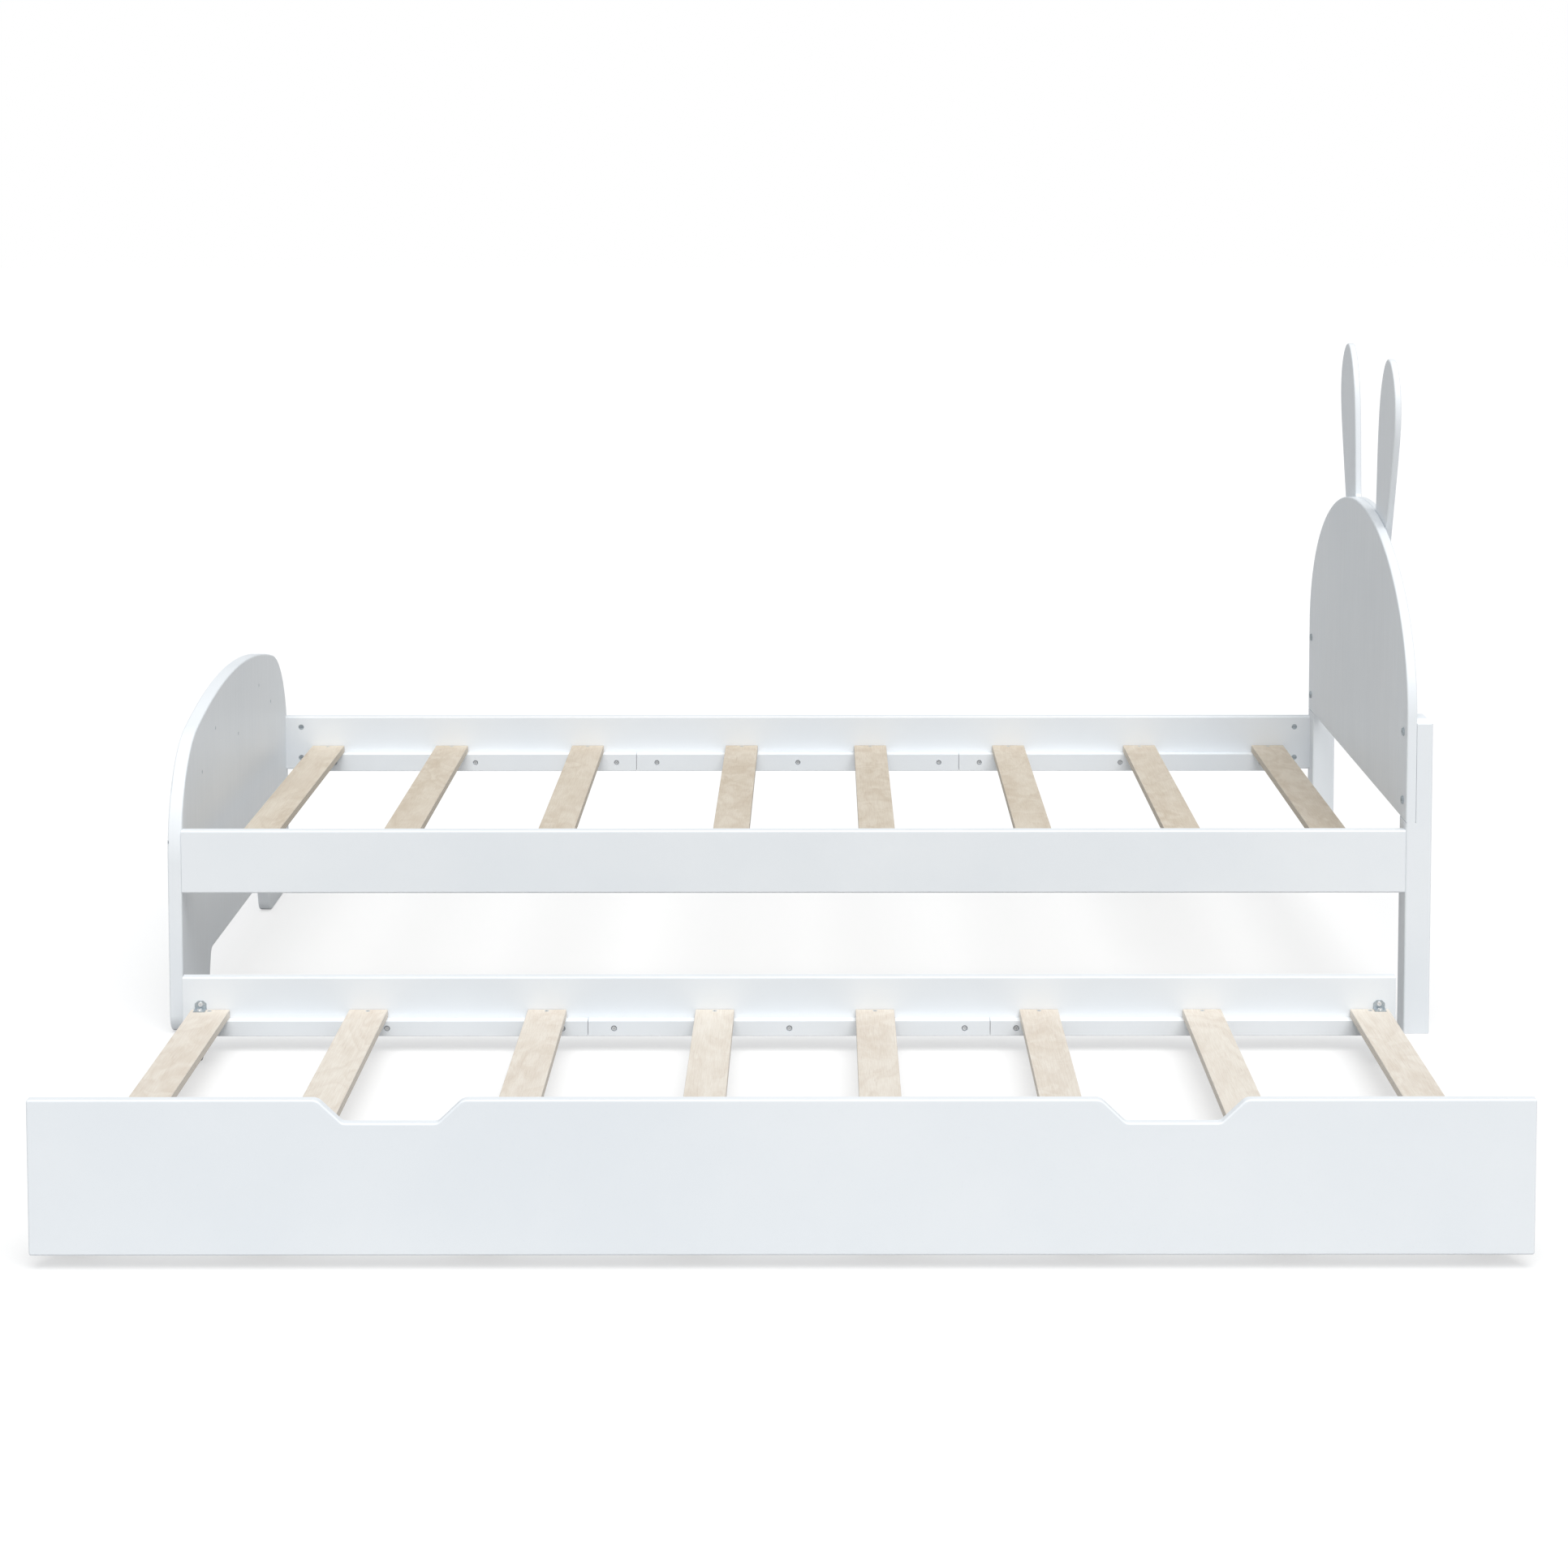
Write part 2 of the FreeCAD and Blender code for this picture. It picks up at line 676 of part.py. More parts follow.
def rail_dowels():
    """A wooden dowel across each joint between a rail and a post or the footboard."""
    dowels = []
    bores = []
    for end, _ in RAIL_ENDS:
        for y in RAIL_LINES:
            height = "Sizes.rail_low + Sizes.dowel_height"
            start = (f"{end} - Sizes.dowel_long / 2", y, height)
            dowels.append(rod(start, "+X", "Sizes.dowel_long", "Sizes.dowel_diameter"))
            bores.append(rod(shifted(start, "-X", "Sizes.fit"), "+X",
                             "Sizes.dowel_long + 2 * Sizes.fit",
                             "Sizes.dowel_diameter + Sizes.fit"))
    group(dowels, "rail_dowels")
    return joined(*bores)


# ---------------------------------------------------------------- trundle

def trundle_front(*bores):
    """The front panel with two hand notches in its top edge."""
    tall = "Sizes.front_tall"
    corners = [("0", "0"), ("Sizes.trundle_long", "0"), ("Sizes.trundle_long", tall)]
    for side in ("+", "-"):
        middle = f"Sizes.trundle_long / 2 {side} Sizes.notch_apart / 2"
        floor = f"{tall} - Sizes.notch_deep"
        corners += [
            (f"{middle} + Sizes.notch_wide / 2", tall),
            (f"{middle} + Sizes.notch_floor / 2", floor),
            (f"{middle} - Sizes.notch_floor / 2", floor),
            (f"{middle} - Sizes.notch_wide / 2", tall),
        ]
    corners.append(("0", tall))
    rounds = [
        ("Sizes.soft_edge", (0, 1, 2, 11)),
        ("Sizes.notch_lip_round", (3, 6, 7, 10)),
        ("Sizes.notch_floor_round", (4, 5, 8, 9)),
    ]
    panel = board(corners, "Sizes.front_thick", rounds=rounds, edge="Sizes.panel_edge")
    put(panel, f"{TRUNDLE_X} - Sizes.trundle_long / 2", INSIDE_Y, "Sizes.front_low",
        UPRIGHT_ALONG)
    node(cut(panel, *bores), "trundle_front_panel")


def trundle_back(*bores):
    rail = bar("Sizes.rail_thick", "Sizes.back_tall", "Sizes.trundle_long", "Sizes.soft_edge")
    put(rail, f"{TRUNDLE_X} - Sizes.trundle_long / 2", BACK_Y, "Sizes.back_low",
        UPRIGHT_ACROSS)
    node(cut(rail, *bores), "trundle_rear_rail")


# Each end slat has a bracket on its outer half at the front panel and at the rear rail
BRACKET_X = (f"({slat_x('trundle', 1)} - Sizes.bracket_offset)",
             f"({slat_x('trundle', SLATS)} + Sizes.bracket_offset)")
BRACKET_Z = f"({TRUNDLE_SLAT_Z} + Sizes.slat_thick)"


def bracket(x, face, way):
    """An angle bracket: an upright leaf that rises to a lug, and a flat leaf on the slat."""
    wide = "Sizes.bracket_wide"
    tall = "Sizes.bracket_tall"
    shoulder = "Sizes.bracket_shoulder"
    corners = [
        ("0", "0"),
        (wide, "0"),
        (wide, shoulder),
        (f"({wide} + Sizes.bracket_lug) / 2", tall),
        (f"({wide} - Sizes.bracket_lug) / 2", tall),
        ("0", shoulder),
    ]
    leaf = board(corners, "Sizes.bracket_sheet", rounds=[("Sizes.bracket_round", (3, 4))])
    left = f"{x} - {wide} / 2"
    if way == "+Y":
        put(leaf, left, f"{face} + Sizes.bracket_sheet", BRACKET_Z, UPRIGHT_ALONG)
        flat = block((left, face, BRACKET_Z), wide, "Sizes.bracket_deep", "Sizes.bracket_sheet")
    else:
        put(leaf, left, face, BRACKET_Z, UPRIGHT_ALONG)
        flat = block((left, f"{face} - Sizes.bracket_deep", BRACKET_Z), wide,
                     "Sizes.bracket_deep", "Sizes.bracket_sheet")
    return joined(leaf, flat)


def bracket_spots():
    """One screw through each leaf of each bracket."""
    spots = []
    for x in BRACKET_X:
        for face, away, into in ((INSIDE_Y, "+Y", "-Y"), (BACK_Y, "-Y", "+Y")):
            upright = (x, face, f"{BRACKET_Z} + Sizes.bracket_screw_up")
            spots.append((shifted(upright, away, "Sizes.bracket_sheet"), into))
            flat = (x, face, f"{BRACKET_Z} + Sizes.bracket_sheet")
            spots.append((shifted(flat, away, "Sizes.bracket_screw_in"), "-Z"))
    return spots


def corner_brackets(bores):
    brackets = []
    for x in BRACKET_X:
        for face, way in ((INSIDE_Y, "+Y"), (BACK_Y, "-Y")):
            brackets.append(cut(bracket(x, face, way), bores))
    group(brackets, "trundle_corner_brackets")


# ---------------------------------------------------------------- casters

CASTERS = {
    "front_foot": (f"({slat_x('trundle', 1)} - Sizes.caster_offset)",
                   f"({INSIDE_Y} + Sizes.caster_inset)"),
    "front_head": (f"({slat_x('trundle', SLATS)} + Sizes.caster_offset)",
                   f"({INSIDE_Y} + Sizes.caster_inset)"),
    "rear_foot": (f"({slat_x('trundle', 1)} - Sizes.caster_offset)",
                  f"({BACK_Y} - Sizes.caster_inset)"),
    "rear_head": (f"({slat_x('trundle', SLATS)} + Sizes.caster_offset)",
                  f"({BACK_Y} - Sizes.caster_inset)"),
}
AXLE_Z = "Sizes.wheel_diameter / 2"


def plate_spots():
    """Four screws up through each caster's plate into the slat."""
    seat = f"{TRUNDLE_SLAT_Z} - Sizes.plate_sheet"
    spots = []
    for x, y in CASTERS.values():
        for x_sign in ("-", "+"):
            for y_sign in ("-", "+"):
                place = (f"{x} {x_sign} Sizes.plate_screw_x", f"{y} {y_sign} Sizes.plate_screw_y",
                         seat)
                spots.append((place, "+Z"))
    return spots


def caster_fork(label, x, y, *bores):
    """A plate with two cheeks that taper to a round toe about the axle.

    The toe's arc needs a radius a shade over half its chord, hence the slack.
    """
    under = f"({TRUNDLE_SLAT_Z} - Sizes.plate_sheet)"
    inset = "(Sizes.fork_top / 2 - Sizes.fork_toe)"
    corners = [
        (inset, AXLE_Z),
        (f"{inset} + 2 * Sizes.fork_toe", AXLE_Z),
        ("Sizes.fork_top", under),
        ("0", under),
    ]
    cheeks = board(corners, "Sizes.fork_wide", {0: "Sizes.fork_toe + Sizes.toe_slack"})
    put(cheeks, f"{x} - Sizes.fork_wide / 2", f"{y} - Sizes.fork_top / 2", "0", UPRIGHT_ACROSS)
    gap_start = f"{y} - Sizes.fork_top / 2 - Sizes.cut_past"
    gap = block((f"{x} - Sizes.fork_gap / 2", gap_start, "0"), "Sizes.fork_gap",
                "Sizes.fork_top + 2 * Sizes.cut_past", under)
    plate = block((f"{x} - Sizes.plate_wide / 2", f"{y} - Sizes.plate_long / 2", under),
                  "Sizes.plate_wide", "Sizes.plate_long", "Sizes.plate_sheet")
    node(cut(joined(cut(cheeks, gap), plate), *bores), label)


def caster_wheel(label, x, y):
    """A wheel with a dished side, turned about its axle."""
    body = doc.addObject("PartDesign::Body", "wheel")
    outer = "Sizes.wheel_diameter / 2"
    rim = f"{outer} - Sizes.wheel_rim"
    hub = "Sizes.wheel_hub / 2"
    bore = "(Sizes.axle_diameter + Sizes.axle_play) / 2"
    wide = "Sizes.wheel_wide"
    dish = "Sizes.wheel_dish"
    corners = [
        (bore, "0"), (hub, "0"), (hub, dish), (rim, dish), (rim, "0"), (outer, "0"),
        (outer, wide), (rim, wide), (rim, f"{wide} - {dish}"), (hub, f"{wide} - {dish}"),
        (hub, wide), (bore, wide),
    ]
    sketch = flat_sketch(body, corners)
    turned = body.newObject("PartDesign::Revolution", "turned")
    turned.Profile = sketch
    turned.ReferenceAxis = (sketch, ["V_Axis"])
    turned.Angle = 360
    doc.recompute()
    radius = value_of(outer)

    def tread_edge(item):
        return abs(item.BoundBox.XMax - radius) < NEAR and item.BoundBox.YLength < NEAR

    rounded(body, turned, edges_where(turned, tread_edge), "Sizes.wheel_round")
    quarter = FreeCAD.Rotation(FreeCAD.Vector(0, 0, 1), -90)
    put(body, f"{x} - Sizes.wheel_wide / 2", y, AXLE_Z, quarter)
    node(body, label)


def caster_axles():
    """The axles, and the bores that they need in the forks."""
    axles = []
    bores = []
    for x, y in CASTERS.values():
        start = (f"{x} - Sizes.axle_long / 2", y, AXLE_Z)
        axles.append(rod(start, "+X", "Sizes.axle_long", "Sizes.axle_diameter"))
        bores.append(rod(start, "+X", "Sizes.axle_long", "Sizes.axle_diameter + Sizes.axle_play"))
    group(axles, "caster_axles")
    return joined(*bores)


# ---------------------------------------------------------------- the whole bed

def build_bed():
    front_rail_in = f"({FRONT_Y} + Sizes.rail_thick)"
    rear_rail_in = f"({REAR_Y} - Sizes.rail_thick)"
    head_bolts = fastener_set("rail_bolts_head", "head_bolt", bolt_spots(
        f"{HEAD_X} + Sizes.post_thick - Sizes.head_bolt_sink", "-X"))
    foot_bolts = fastener_set("rail_bolts_foot", "foot_bolt", bolt_spots(
        f"{FOOT_X} - Sizes.footboard_thick + Sizes.foot_bolt_sink", "+X"))
    nuts = barrel_nuts(head_bolts, foot_bolts)
    dowels = rail_dowels()
    dome_bolts = fastener_set("headboard_bolts", "dome_bolt", [
        ((HEAD_X, y, z), "+X")
        for y in (f"{FRONT_Y} + Sizes.dome_bolt_inset", f"{REAR_Y} - Sizes.dome_bolt_inset")
        for z in ("Sizes.dome_bolt_low", "Sizes.dome_bolt_high")])
    ears_back = f"{HEAD_X} + Sizes.dome_thick + Sizes.ears_thick - Sizes.ear_screw_rise"
    ear_screws = fastener_set("ear_screws", "ear_screw", [
        ((ears_back, f"{MID_Y} + {column} * Sizes.ear_screw_pitch", z), "-X")
        for column in (-1.5, -0.5, 0.5, 1.5)
        for z in ("Sizes.ear_screw_low", "Sizes.ear_screw_high")])
    marks = [("0", "mark_middle_up")]
    for name in ("mark_side", "mark_inner"):
        marks += [(f"Sizes.{name}", f"{name}_up"), (f"-Sizes.{name}", f"{name}_up")]
    mark_screws = fastener_set("footboard_screws", "mark_screw", [
        ((f"{FOOT_X} - Sizes.mark_screw_rise", f"{MID_Y} + ({out})", f"Sizes.{up}"), "-X")
        for out, up in marks])
    cleat_screws = fastener_set("bed_cleat_screws", "cleat_screw", cleat_spots(
        "bed", "Sizes.rail_low", f"{front_rail_in} + Sizes.cleat_thick",
        f"{rear_rail_in} - Sizes.cleat_thick"))
    slat_screws = fastener_set("bed_slat_screws", "slat_screw", slat_spots(
        "bed", front_rail_in, rear_rail_in, BED_SLAT_Z))

    headboard_panel(dome_bolts, ear_screws)
    ears_board(ear_screws)
    post_bores = (head_bolts, dowels, dome_bolts)
    head_post("head_post_front", FRONT_Y, *post_bores)
    head_post("head_post_rear", f"{REAR_Y} - Sizes.post_wide", *post_bores)
    footboard(foot_bolts, dowels, mark_screws)
    rail_bores = (head_bolts, foot_bolts, nuts, dowels, cleat_screws)
    side_rail("side_rail_front", FRONT_Y, *rail_bores)
    side_rail("side_rail_rear", rear_rail_in, *rail_bores)
    cleats("bed", "front", front_rail_in, "Sizes.rail_low", cleat_screws, slat_screws)
    cleats("bed", "rear", f"{rear_rail_in} - Sizes.cleat_thick", "Sizes.rail_low",
           cleat_screws, slat_screws)
    slats("bed", front_rail_in, rear_rail_in, BED_SLAT_Z, [slat_screws])


def build_trundle():
    cleat_screws = fastener_set("trundle_cleat_screws", "cleat_screw", cleat_spots(
        "trundle", "Sizes.trundle_cleat_low", f"{INSIDE_Y} + Sizes.cleat_thick",
        f"{BACK_Y} - Sizes.cleat_thick"))
    slat_screws = fastener_set("trundle_slat_screws", "slat_screw", slat_spots(
        "trundle", INSIDE_Y, BACK_Y, TRUNDLE_SLAT_Z))
    bracket_screws = fastener_set("bracket_screws", "bracket_screw", bracket_spots())
    plate_screws = fastener_set("caster_screws", "plate_screw", plate_spots())
    axles = caster_axles()

    trundle_front(cleat_screws, bracket_screws)
    trundle_back(cleat_screws, bracket_screws)
    cleats("trundle", "front", INSIDE_Y, "Sizes.trundle_cleat_low", cleat_screws, slat_screws)
    cleats("trundle", "rear", f"{BACK_Y} - Sizes.cleat_thick", "Sizes.trundle_cleat_low",
           cleat_screws, slat_screws)
    slats("trundle", INSIDE_Y, BACK_Y, TRUNDLE_SLAT_Z, [slat_screws],
          [bracket_screws, plate_screws])
    corner_brackets(bracket_screws)
    for name, (x, y) in CASTERS.items():
        caster_fork(f"caster_fork_{name}", x, y, plate_screws, axles)
        caster_wheel(f"caster_wheel_{name}", x, y)


def check_document():
    """Stop if any object failed, or if a piece is empty or not valid."""
    for thing in doc.Objects:
        if "Invalid" in thing.State or "Error" in thing.State:
            raise RuntimeError(f"{thing.Name} ({thing.Label}) failed: {thing.State}")
    for thing in nodes:
        if thing.Shape.isNull() or not thing.Shape.isValid() or not thing.Shape.Solids:
            raise RuntimeError(f"{thing.Label} has no valid shape")


def write_parts():
    os.makedirs("parts", exist_ok=True)
    for thing in nodes:
        thing.Shape.exportStep(f"parts/{thing.Label}.step")
        print(f"{thing.Label:26s} {len(thing.Shape.Solids):3d} solids {thing.Shape.Volume:12.0f} mm3")


fill_sheet()
build_bed()
build_trundle()
doc.recompute()
check_document()
write_parts()
print(len(nodes), "nodes")
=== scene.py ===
import bpy
import json
import math
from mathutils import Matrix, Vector


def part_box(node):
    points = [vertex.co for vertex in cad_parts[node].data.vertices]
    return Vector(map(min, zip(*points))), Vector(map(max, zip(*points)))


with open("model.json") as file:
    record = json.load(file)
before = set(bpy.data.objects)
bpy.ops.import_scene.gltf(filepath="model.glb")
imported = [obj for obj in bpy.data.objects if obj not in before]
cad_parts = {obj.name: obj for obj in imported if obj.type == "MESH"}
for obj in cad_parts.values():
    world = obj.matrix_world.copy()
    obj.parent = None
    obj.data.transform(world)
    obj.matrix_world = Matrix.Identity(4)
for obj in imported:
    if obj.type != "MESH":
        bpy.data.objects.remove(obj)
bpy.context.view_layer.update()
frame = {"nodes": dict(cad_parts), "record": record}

# A white satin trundle bed on a pale floor. Every node keeps its CAD shape; this script gives
# each one its material, and adds the floor, the light and the camera. Lengths are in metres.

SLAT_THICKNESS = 0.013
PLIES_IN_A_SLAT = 7
FLOOR_SIZE = 60

# The floor lies this far under the feet, so that no two faces share a plane
FLOOR_GAP = 0.0005

# A slat shows veneer where the upright part of its normal is above this, and plies elsewhere
VENEER_ABOVE = 0.6


# ---------------------------------------------------------------- node helpers

def new_material(name):
    """A material, its node tree and its main shader."""
    material = bpy.data.materials.new(name)
    material.use_nodes = True
    tree = material.node_tree
    return material, tree, tree.nodes["Principled BSDF"]


def node(tree, kind, **settings):
    """A shader node; settings are its properties, or its inputs where it has no such property."""
    made = tree.nodes.new(f"ShaderNode{kind}")
    for name, value in settings.items():
        if hasattr(made, name):
            setattr(made, name, value)
        else:
            made.inputs[name.replace("_", " ")].default_value = value
    return made


def link(tree, source, target):
    tree.links.new(source, target)


def stretched(tree, scale=(1, 1, 1), offset=(0, 0, 0)):
    """Object coordinates in metres, scaled differently along each axis and then moved."""
    place = node(tree, "TexCoord")
    mapping = node(tree, "Mapping", Scale=scale, Location=offset)
    link(tree, place.outputs["Object"], mapping.inputs["Vector"])
    return mapping.outputs["Vector"]


def noise(tree, vector, scale, detail=3.0, roughness=0.55, distortion=0.0):
    """Smooth noise, its values mostly between 0.3 and 0.7."""
    made = node(tree, "TexNoise", Scale=scale, Detail=detail, Roughness=roughness,
                Distortion=distortion)
    link(tree, vector, made.inputs["Vector"])
    return made.outputs["Fac"]


def ramp(tree, value, *stops):
    """A colour ramp over value; each stop is a position and a colour or a grey."""
    made = node(tree, "ValToRGB")
    elements = made.color_ramp.elements
    while len(elements) < len(stops):
        elements.new(0.5)
    for element, (position, colour) in zip(elements, stops):
        element.position = position
        element.color = (*colour, 1) if isinstance(colour, tuple) else (colour,) * 3 + (1,)
    link(tree, value, made.inputs["Fac"])
    return made.outputs["Color"]


def math_node(tree, operation, *values):
    """One sum; each value is a number or a socket."""
    made = node(tree, "Math", operation=operation)
    for socket, value in zip(made.inputs, values):
        if isinstance(value, (int, float)):
            socket.default_value = value
        else:
            link(tree, value, socket)
    return made.outputs["Value"]


def times(tree, value, factor):
    return math_node(tree, "MULTIPLY", value, factor)


def mixed(tree, factor, first, second, blend="MIX"):
    """One colour over another, by a factor that is a number or a socket."""
    made = node(tree, "Mix", data_type="RGBA", blend_type=blend)
    factor_socket, first_socket, second_socket = (made.inputs[index] for index in (0, 6, 7))
    for socket, value in ((factor_socket, factor), (first_socket, first),
                          (second_socket, second)):
        if isinstance(value, bpy.types.NodeSocket):
            link(tree, value, socket)
        elif isinstance(value, tuple):
            socket.default_value = (*value, 1)
        else:
            socket.default_value = value
    return made.outputs[2]


def coloured(tree, shader, colour, roughness):
    """Give the shader its colour and its roughness."""
    link(tree, colour, shader.inputs["Base Color"])
    link(tree, roughness, shader.inputs["Roughness"])


def bumped(tree, shader, height, strength, distance):
    """Give the shader a relief."""
    made = node(tree, "Bump", Strength=strength, Distance=distance)
    link(tree, height, made.inputs["Height"])
    link(tree, made.outputs["Normal"], shader.inputs["Normal"])


def facing(tree, axis):
    """1 on faces square to the axis, and 0 on faces along it."""
    normal = node(tree, "SeparateXYZ")
    link(tree, node(tree, "NewGeometry").outputs["True Normal"], normal.inputs["Vector"])
    return math_node(tree, "ABSOLUTE", normal.outputs[axis])


def edge_mask(tree, radius):
    """1 on an edge and 0 on a flat face: where the rounded normal leaves the true one."""
    rounded = node(tree, "Bevel", samples=6, Radius=radius)
    true = node(tree, "NewGeometry")
    agreement = node(tree, "VectorMath", operation="DOT_PRODUCT")
    link(tree, rounded.outputs["Normal"], agreement.inputs[0])
    link(tree, true.outputs["True Normal"], agreement.inputs[1])
    return ramp(tree, agreement.outputs["Value"], (0.80, 1.0), (0.985, 0.0))


def shown_as(tree, lighting, shown, surface):
    """One shader for the light that bounces about, and another for what the camera sees."""
    light_path = node(tree, "LightPath")
    choice = node(tree, "MixShader")
    link(tree, light_path.outputs["Is Camera Ray"], choice.inputs["Fac"])
    link(tree, lighting, choice.inputs[1])
    link(tree, shown, choice.inputs[2])
    link(tree, choice.outputs["Shader"], surface)


# ---------------------------------------------------------------- colours

def linear(red, green, blue):
    """A colour given as it looks on screen, 0 to 255, as linear light."""
    def channel(value):
        share = value / 255
        return share / 12.92 if share <= 0.04045 else ((share + 0.055) / 1.055) ** 2.4

    return channel(red), channel(green), channel(blue)


def mid(first, second, share):
    """A colour between two, a share of the way to the second."""
    return tuple(a + (b - a) * share for a, b in zip(first, second))


# ---------------------------------------------------------------- materials

def satin_paint():
    """Sprayed white lacquer on board: orange peel, mottling, edges worn a touch, faint grain."""
    material, tree, shader = new_material("satin_white_paint")
    place = stretched(tree)

    # A nearly even white, with fine dust under the lacquer
    mottle = noise(tree, place, scale=2.2, detail=4.0, roughness=0.6)
    tint = ramp(tree, mottle, (0.35, linear(237, 241, 245)), (0.65, linear(242, 245, 248)))
    specks = noise(tree, place, scale=420, detail=2.0, roughness=0.7)
    dust = ramp(tree, specks, (0.30, linear(232, 234, 238)), (0.36, linear(255, 255, 255)))
    dust_strength = 0.12
    coat = mixed(tree, dust_strength, tint, dust, "MULTIPLY")

    # Upright grain that shows faintly on faces turned to the head or the foot
    grain = noise(tree, stretched(tree, (1, 1, 0.05)), scale=150, detail=3.0, roughness=0.6)
    streaks = ramp(tree, grain, (0.35, 0.955), (0.65, 1.0))
    grain_strength = times(tree, facing(tree, "X"), 0.8)
    coat = mixed(tree, grain_strength, coat, streaks, "MULTIPLY")

    # Edges rubbed in places
    scuffs = ramp(tree, noise(tree, place, scale=38, detail=4.0, roughness=0.7),
                  (0.52, 0.0), (0.68, 1.0))
    rub = times(tree, times(tree, edge_mask(tree, radius=0.002), scuffs), 0.35)
    gloss = ramp(tree, noise(tree, place, scale=9, detail=5.0, roughness=0.6),
                 (0.3, 0.36), (0.7, 0.47))
    coloured(tree, shader, mixed(tree, rub, coat, linear(214, 212, 208)), gloss)

    # Orange peel on slow waves
    peel = noise(tree, place, scale=260, detail=2.0, roughness=0.5)
    waves = noise(tree, place, scale=18, detail=2.0, roughness=0.5)
    height = math_node(tree, "ADD", times(tree, peel, 0.35), waves)
    bumped(tree, shader, height, strength=0.10, distance=0.0006)
    shader.inputs["Specular IOR Level"].default_value = 0.45
    shader.inputs["Coat Weight"].default_value = 0.12
    shader.inputs["Coat Roughness"].default_value = 0.28
    return material


def slat_plywood(name, offset, light, dark, underside):
    """Birch plywood: rotary-cut veneer on the flat faces, plies on the edges.

    The offset picks the slat's own stretch of veneer; underside is the height of its lower face.
    """
    material, tree, shader = new_material(name)
    pore_brown = (0.34, 0.23, 0.16)
    ring_brown = mid(dark, (0.36, 0.22, 0.14), 0.30)

    # Slow change of tone, with paler patches
    place = stretched(tree, (1, 0.16, 1), offset)
    drift = noise(tree, place, scale=9, detail=3.0, roughness=0.55, distortion=0.4)
    veneer = ramp(tree, drift, (0.30, dark), (0.50, mid(light, dark, 0.55)), (0.70, light))
    blotches = noise(tree, stretched(tree, (1, 0.45, 1), offset), scale=24, detail=3.0,
                     roughness=0.6, distortion=1.6)
    patches = ramp(tree, blotches, (0.42, 0.0), (0.62, 1.0))
    veneer = mixed(tree, times(tree, patches, 0.65), veneer, light)

    # Growth rings sliced at a shallow angle: contour lines of a slow swell, dark on one side
    swell = noise(tree, stretched(tree, (1, 0.30, 1), offset), scale=13, detail=2.5,
                  roughness=0.5, distortion=0.9)
    ring_count = 5.0
    rings = math_node(tree, "FRACT", times(tree, swell, ring_count))
    lines = ramp(tree, rings, (0.0, 0.15), (0.16, 1.0), (0.55, 0.25), (0.85, 0.0), (1.0, 0.15))
    veneer = mixed(tree, times(tree, lines, 0.28), veneer, ring_brown)

    # Fine fibres and pores along the slat
    fibre_place = stretched(tree, (1, 0.025, 1), offset)
    fibres = noise(tree, fibre_place, scale=950, detail=3.0, roughness=0.6)
    grain = ramp(tree, fibres, (0.3, linear(232, 226, 220)), (0.7, linear(255, 255, 255)))
    fibre_strength = 0.55
    veneer = mixed(tree, fibre_strength, veneer, grain, "MULTIPLY")
    pores = ramp(tree, noise(tree, fibre_place, scale=520, detail=2.0, roughness=0.6),
                 (0.66, 0.0), (0.72, 1.0))
    veneer = mixed(tree, times(tree, pores, 0.22), veneer, pore_brown)

    # Plies on the edges: a light and a dark one in turn, with a line of glue between them
    spot = node(tree, "SeparateXYZ")
    link(tree, stretched(tree), spot.inputs["Vector"])
    depth = math_node(tree, "SUBTRACT", spot.outputs["Z"], underside)
    wobble = times(tree, noise(tree, place, scale=30), 0.0006)
    pairs_per_metre = PLIES_IN_A_SLAT / SLAT_THICKNESS / 2
    layer = math_node(tree, "FRACT",
                      times(tree, math_node(tree, "ADD", depth, wobble), pairs_per_metre))
    glue = mid(dark, (0.30, 0.21, 0.15), 0.55)
    end_grain = mid(dark, (0.4, 0.3, 0.22), 0.18)
    plies = ramp(tree, layer, (0.0, mid(light, dark, 0.2)), (0.46, mid(light, dark, 0.3)),
                 (0.5, glue), (0.54, end_grain), (0.97, end_grain), (1.0, glue))
    flat = math_node(tree, "GREATER_THAN", facing(tree, "Z"), VENEER_ABOVE)
    wood = mixed(tree, flat, plies, veneer)

    worn = times(tree, edge_mask(tree, radius=0.0012), 0.3)
    rough = ramp(tree, fibres, (0.3, 0.62), (0.7, 0.5))
    coloured(tree, shader, mixed(tree, worn, wood, light), rough)
    relief = math_node(tree, "SUBTRACT", fibres, times(tree, pores, 0.6))
    bumped(tree, shader, relief, strength=0.22, distance=0.0004)
    shader.inputs["Specular IOR Level"].default_value = 0.35
    return material


def zinc(name, bright, dull):
    """Zinc plating: spangled patches from bright to dull, tarnish and fine rolling lines."""
    material, tree, shader = new_material(name)
    place = stretched(tree)
    cells = node(tree, "TexVoronoi", Scale=420.0)
    link(tree, place, cells.inputs["Vector"])
    spangle = ramp(tree, cells.outputs["Distance"], (0.0, bright), (1.0, dull))
    tarnish = ramp(tree, noise(tree, place, scale=90, detail=4.0, roughness=0.65),
                   (0.45, (1.0, 1.0, 1.0)), (0.7, (0.78, 0.77, 0.75)))
    tarnish_strength = 0.7
    rough = ramp(tree, noise(tree, place, scale=700, detail=2.0), (0.3, 0.28), (0.7, 0.46))
    coloured(tree, shader, mixed(tree, tarnish_strength, spangle, tarnish, "MULTIPLY"), rough)
    lines = noise(tree, stretched(tree, (1, 12, 12)), scale=260, detail=2.0)
    bumped(tree, shader, lines, strength=0.15, distance=0.0002)
    shader.inputs["Metallic"].default_value = 0.6
    return material


